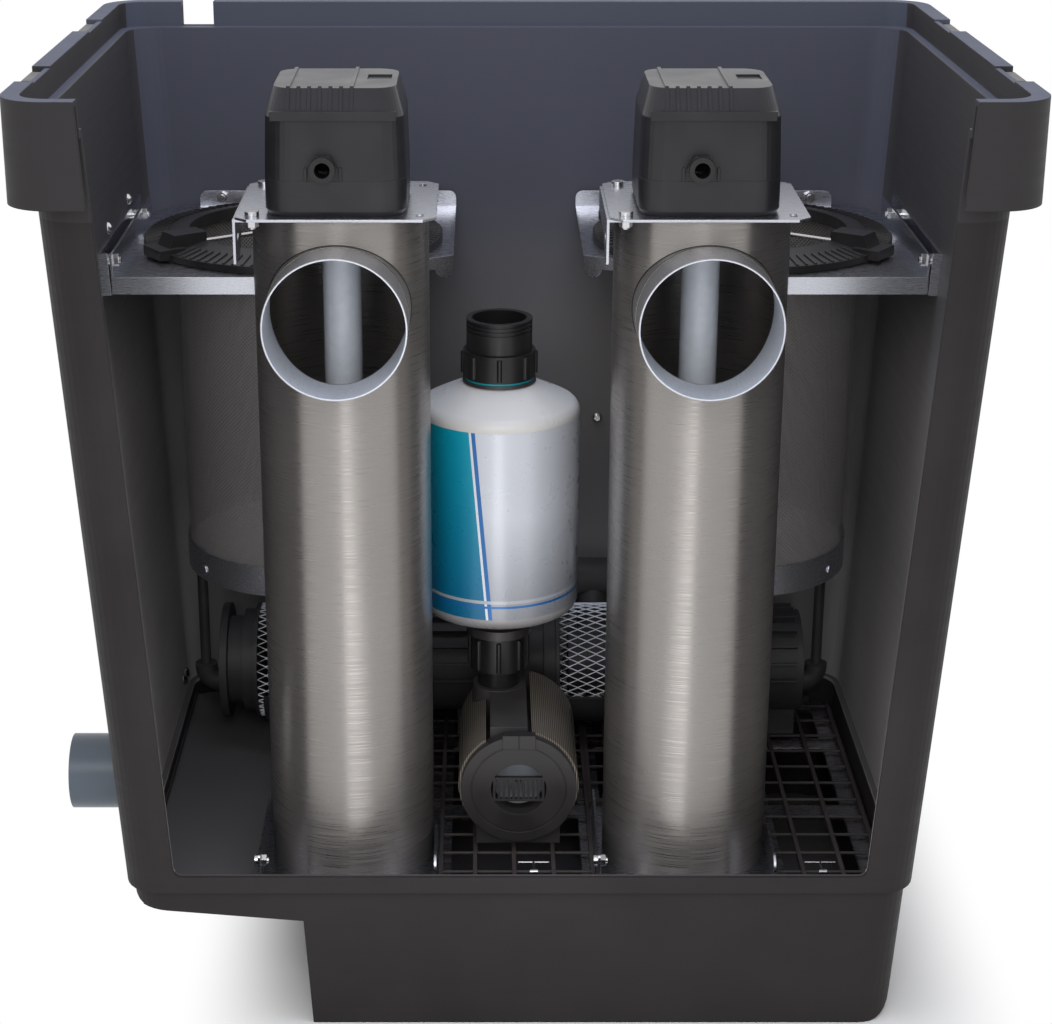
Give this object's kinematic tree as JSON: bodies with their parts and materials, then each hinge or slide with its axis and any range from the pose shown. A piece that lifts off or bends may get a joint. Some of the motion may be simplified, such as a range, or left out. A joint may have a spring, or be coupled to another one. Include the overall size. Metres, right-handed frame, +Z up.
{
  "type": "pond filter chamber",
  "caption": "Cut-away pond filter chamber: black tub with steel ultraviolet clarifiers, lidded strainer baskets, a canister on its pump and circulation pumps behind.",
  "frame": {"origin": "centre of the overall box at the underside of the sump", "axes": "+Z up, +X to the right seen from the open front, +Y towards the back wall; the cut-away front faces -Y"},
  "size_m": [1.08, 0.78, 1.13],
  "materials": {
    "black_polyethylene": "matte",
    "plated_fasteners": "gloss",
    "grey_pvc": "satin",
    "seal_rubber": "matte",
    "stainless_steel": "brushed",
    "coated_grate": "satin",
    "stainless_wire": "satin",
    "expanded_steel": "satin",
    "ribbed_steel": "satin",
    "canister_plastic": "satin",
    "filter_media": "matte",
    "black_fitting_plastic": "satin",
    "teal_rubber": "satin",
    "grey_ring_plastic": "satin",
    "black_pump_plastic": "satin",
    "dark_disc_plastic": "satin",
    "rotor_plastic": "satin",
    "black_head_plastic": "satin",
    "black_lid_plastic": "satin",
    "quartz_glass": "gloss",
    "lamp_glass": "gloss"
  },
  "bodies": {
    "chamber": {"tank": "black_polyethylene", "rim_clips": "black_polyethylene", "wall_bolts": "plated_fasteners", "outlet_pipe": "grey_pvc", "outlet_seal": "seal_rubber", "support_frame": "stainless_steel", "centre_grate": "coated_grate", "right_grate": "coated_grate", "left_uv_foot": "stainless_steel", "right_uv_foot": "stainless_steel", "left_uv_tube": "stainless_steel", "right_uv_tube": "stainless_steel", "left_uv_plate": "stainless_steel", "right_uv_plate": "stainless_steel", "left_uv_bracket": "stainless_steel", "right_uv_bracket": "stainless_steel", "uv_screws": "plated_fasteners", "left_uv_head_base": "black_head_plastic", "right_uv_head_base": "black_head_plastic", "left_uv_head_cover": "black_head_plastic", "right_uv_head_cover": "black_head_plastic", "left_uv_gland": "black_fitting_plastic", "right_uv_gland": "black_fitting_plastic", "left_uv_sleeve": "quartz_glass", "right_uv_sleeve": "quartz_glass", "uv_lamps": "lamp_glass", "left_shelf": "stainless_steel", "right_shelf": "stainless_steel", "shelf_flanges": "stainless_steel", "wall_brackets": "stainless_steel", "shelf_bolts": "plated_fasteners", "canister_body": "canister_plastic", "canister_media": "filter_media", "canister_spigot": "black_fitting_plastic", "canister_gasket": "teal_rubber", "neck_rings": "grey_ring_plastic", "pump_riser": "black_fitting_plastic", "pump_body": "black_pump_plastic", "pump_intake_disc": "dark_disc_plastic", "pump_strainer_shells": "ribbed_steel", "left_rear_pump": "black_pump_plastic", "right_rear_pump": "black_pump_plastic", "left_rear_strainer": "expanded_steel", "right_rear_strainer": "expanded_steel", "discharge_pipes": "black_fitting_plastic"},
    "left_basket": {"left_basket_mesh": "expanded_steel", "left_basket_band": "stainless_steel"},
    "left_lid": {"left_lid_ring": "black_lid_plastic"},
    "left_bail": {"left_bail": "stainless_wire"},
    "left_impeller": {"left_rear_rotor": "rotor_plastic"},
    "right_basket": {"right_basket_mesh": "expanded_steel", "right_basket_band": "stainless_steel"},
    "right_lid": {"right_lid_ring": "black_lid_plastic"},
    "right_bail": {"right_bail": "stainless_wire"},
    "right_impeller": {"right_rear_rotor": "rotor_plastic"},
    "upper_nut": {"canister_union_nut": "black_fitting_plastic"},
    "lower_nut": {"lower_union_nut": "black_fitting_plastic"},
    "canister_impeller": {"pump_rotor": "rotor_plastic"},
    "centre_pull": {"centre_grate_pull": "stainless_wire"},
    "right_pull": {"right_grate_pull": "stainless_wire"}
  },
  "joints": [
    {"name": "left_basket_lift", "type": "slide", "parent": "chamber", "child": "left_basket", "axis": [0, 0, 1], "range_m": [0, 0.43]},
    {"name": "left_lid_twist", "type": "hinge", "parent": "left_basket", "child": "left_lid", "pos_m": [-0.28299, 0.143, 0.8676], "axis": [0, 0, 1], "range_deg": [0, 12]},
    {"name": "left_bail_swing", "type": "hinge", "parent": "left_lid", "child": "left_bail", "pos_m": [-0.28299, 0.143, 0.8726], "axis": [0.8192, 0.5736, 0], "range_deg": [0, 110]},
    {"name": "right_basket_lift", "type": "slide", "parent": "chamber", "child": "right_basket", "axis": [0, 0, 1], "range_m": [0, 0.43]},
    {"name": "right_lid_twist", "type": "hinge", "parent": "right_basket", "child": "right_lid", "pos_m": [0.28299, 0.143, 0.8676], "axis": [0, 0, 1], "range_deg": [-12, 0]},
    {"name": "right_bail_swing", "type": "hinge", "parent": "right_lid", "child": "right_bail", "pos_m": [0.28299, 0.143, 0.8726], "axis": [0.8192, -0.5736, 0], "range_deg": [0, 110]},
    {"name": "upper_nut_turn", "type": "hinge", "parent": "chamber", "child": "upper_nut", "pos_m": [-0.024, -0.015, 0.75], "axis": [0, 0, 1], "continuous": true},
    {"name": "lower_nut_turn", "type": "hinge", "parent": "chamber", "child": "lower_nut", "pos_m": [-0.024, -0.015, 0.37], "axis": [0, 0, 1], "continuous": true},
    {"name": "canister_impeller_spin", "type": "hinge", "parent": "chamber", "child": "canister_impeller", "pos_m": [0, -0.139, 0.25], "axis": [0, 1, 0], "continuous": true},
    {"name": "left_impeller_spin", "type": "hinge", "parent": "chamber", "child": "left_impeller", "pos_m": [-0.31313, 0.196, 0.262], "axis": [1, 0, 0], "continuous": true},
    {"name": "right_impeller_spin", "type": "hinge", "parent": "chamber", "child": "right_impeller", "pos_m": [0.094, 0.196, 0.262], "axis": [1, 0, 0], "continuous": true},
    {"name": "centre_pull_lift", "type": "hinge", "parent": "chamber", "child": "centre_pull", "pos_m": [0.0185, -0.21808, 0.16], "axis": [1, 0, 0], "range_deg": [0, 90]},
    {"name": "right_pull_lift", "type": "hinge", "parent": "chamber", "child": "right_pull", "pos_m": [0.37158, -0.21808, 0.16], "axis": [1, 0, 0], "range_deg": [0, 90]}
  ]
}
